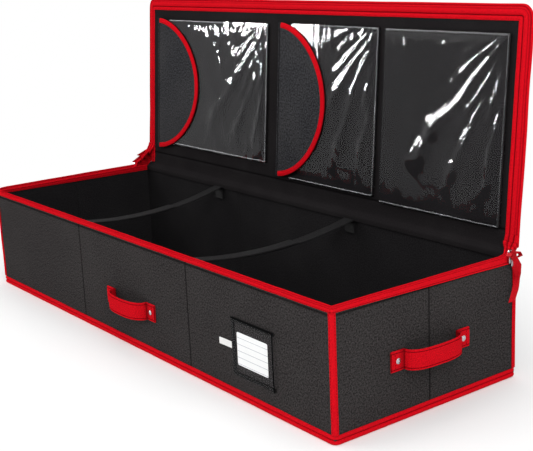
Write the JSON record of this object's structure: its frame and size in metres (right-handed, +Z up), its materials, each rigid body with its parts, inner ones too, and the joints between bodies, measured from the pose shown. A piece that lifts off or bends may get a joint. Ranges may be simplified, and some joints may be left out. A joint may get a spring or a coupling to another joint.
{
  "type": "gift wrap organizer",
  "caption": "Long shallow fabric box with stiff walls, an open zip-round lid with clear flap pockets, hold-down straps, carry handles, a label window and an end pocket.",
  "frame": {"origin": "centre of the box's underside", "axes": "+X right along the length, +Y to the back where the lid is hinged, +Z up"},
  "size_m": [1.0856, 0.4106, 0.5409],
  "materials": {
    "fabric_black": "coated woven cloth over stiff board",
    "lining_black": "smooth lining cloth",
    "flap_grey": "coarse woven cloth",
    "binding_red": "folded woven binding",
    "strap_black": "webbing with stitched edges",
    "clear_sheet": "clear soft vinyl sheet",
    "card_white": "plain card",
    "zip_metal": "polished nickel"
  },
  "bodies": {
    "box": {"bottom_panel": "fabric_black", "base_board": "lining_black", "bottom_binding": "binding_red", "front_wall": "fabric_black", "back_wall": "fabric_black", "left_wall": "fabric_black", "right_wall": "fabric_black", "rim_binding": "binding_red", "box_zip_tape": "binding_red", "corner_binding_front_left": "binding_red", "corner_binding_front_right": "binding_red", "corner_binding_back_left": "binding_red", "corner_binding_back_right": "binding_red", "hinge_welt": "fabric_black", "outer_pocket_sheet": "fabric_black", "outer_pocket_gusset_back": "fabric_black", "outer_pocket_gusset_front": "fabric_black", "outer_pocket_floor": "fabric_black", "outer_pocket_binding": "binding_red", "front_handle": "binding_red", "front_handle_rivet_a": "zip_metal", "front_handle_rivet_b": "zip_metal", "right_handle": "binding_red", "right_handle_rivet_a": "zip_metal", "right_handle_rivet_b": "zip_metal", "left_handle": "binding_red", "left_handle_rivet_a": "zip_metal", "left_handle_rivet_b": "zip_metal", "label_holder": "strap_black", "label_window": "clear_sheet", "side_tag": "card_white", "strap_left_lower": "strap_black", "strap_left_anchor": "strap_black", "strap_right_lower": "strap_black", "strap_right_anchor": "strap_black"},
    "lid": {"lid_panel": "fabric_black", "lid_hinge_tape": "fabric_black", "lid_binding": "binding_red", "lid_zip_tape": "binding_red", "pocket_edge_left": "lining_black", "pocket_window_left": "clear_sheet", "pocket_edge_middle": "lining_black", "pocket_window_middle": "clear_sheet", "pocket_edge_right": "lining_black", "pocket_window_right": "clear_sheet", "flap_anchor_left": "flap_grey", "flap_anchor_middle": "flap_grey"},
    "flap_left": {"flap_left": "flap_grey", "flap_binding_left": "binding_red"},
    "flap_middle": {"flap_middle": "flap_grey", "flap_binding_middle": "binding_red"},
    "strap_left": {"strap_left_upper": "strap_black"},
    "strap_right": {"strap_right_upper": "strap_black"},
    "label_card": {"label_card": "card_white"},
    "slider_left": {"zip_slider_left": "zip_metal"},
    "slider_right": {"zip_slider_right": "zip_metal"},
    "pull_left": {"pull_tab_left": "zip_metal"},
    "pull_right": {"pull_tab_right": "zip_metal", "pull_ribbon": "binding_red"}
  },
  "joints": [
    {"name": "lid_hinge", "type": "hinge", "parent": "box", "child": "lid", "pos_m": [0, 0.1768, 0.1888], "axis": [-1, 0, 0], "range_deg": [-94.5, 115]},
    {"name": "flap_left_hinge", "type": "hinge", "parent": "lid", "child": "flap_left", "pos_m": [-0.4521, 0.18257, 0.36797], "axis": [0, -0.079, -0.9969], "range_deg": [0, 110]},
    {"name": "flap_middle_hinge", "type": "hinge", "parent": "lid", "child": "flap_middle", "pos_m": [-0.04397, 0.18233, 0.36494], "axis": [0, -0.079, -0.9969], "range_deg": [0, 110]},
    {"name": "strap_left_fold", "type": "hinge", "parent": "box", "child": "strap_left", "pos_m": [-0.16014, -0.1674, 0.1845], "axis": [1, 0, 0], "range_deg": [0, 88]},
    {"name": "strap_right_fold", "type": "hinge", "parent": "box", "child": "strap_right", "pos_m": [0.18003, -0.1674, 0.1845], "axis": [1, 0, 0], "range_deg": [0, 88]},
    {"name": "label_card_slide", "type": "slide", "parent": "box", "child": "label_card", "axis": [1, 0, 0], "range_m": [0, 0.09]},
    {"name": "zip_left_slide", "type": "slide", "parent": "box", "child": "slider_left", "axis": [0, -1, 0], "range_m": [0, 0.29]},
    {"name": "zip_right_slide", "type": "slide", "parent": "box", "child": "slider_right", "axis": [0, -1, 0], "range_m": [0, 0.3]},
    {"name": "pull_left_pivot", "type": "hinge", "parent": "slider_left", "child": "pull_left", "pos_m": [-0.5171, 0.14997, 0.1936], "axis": [0, 1, 0], "range_deg": [0, 90]},
    {"name": "pull_right_pivot", "type": "hinge", "parent": "slider_right", "child": "pull_right", "pos_m": [0.5171, 0.15995, 0.19], "axis": [0, -1, 0], "range_deg": [0, 100]}
  ]
}
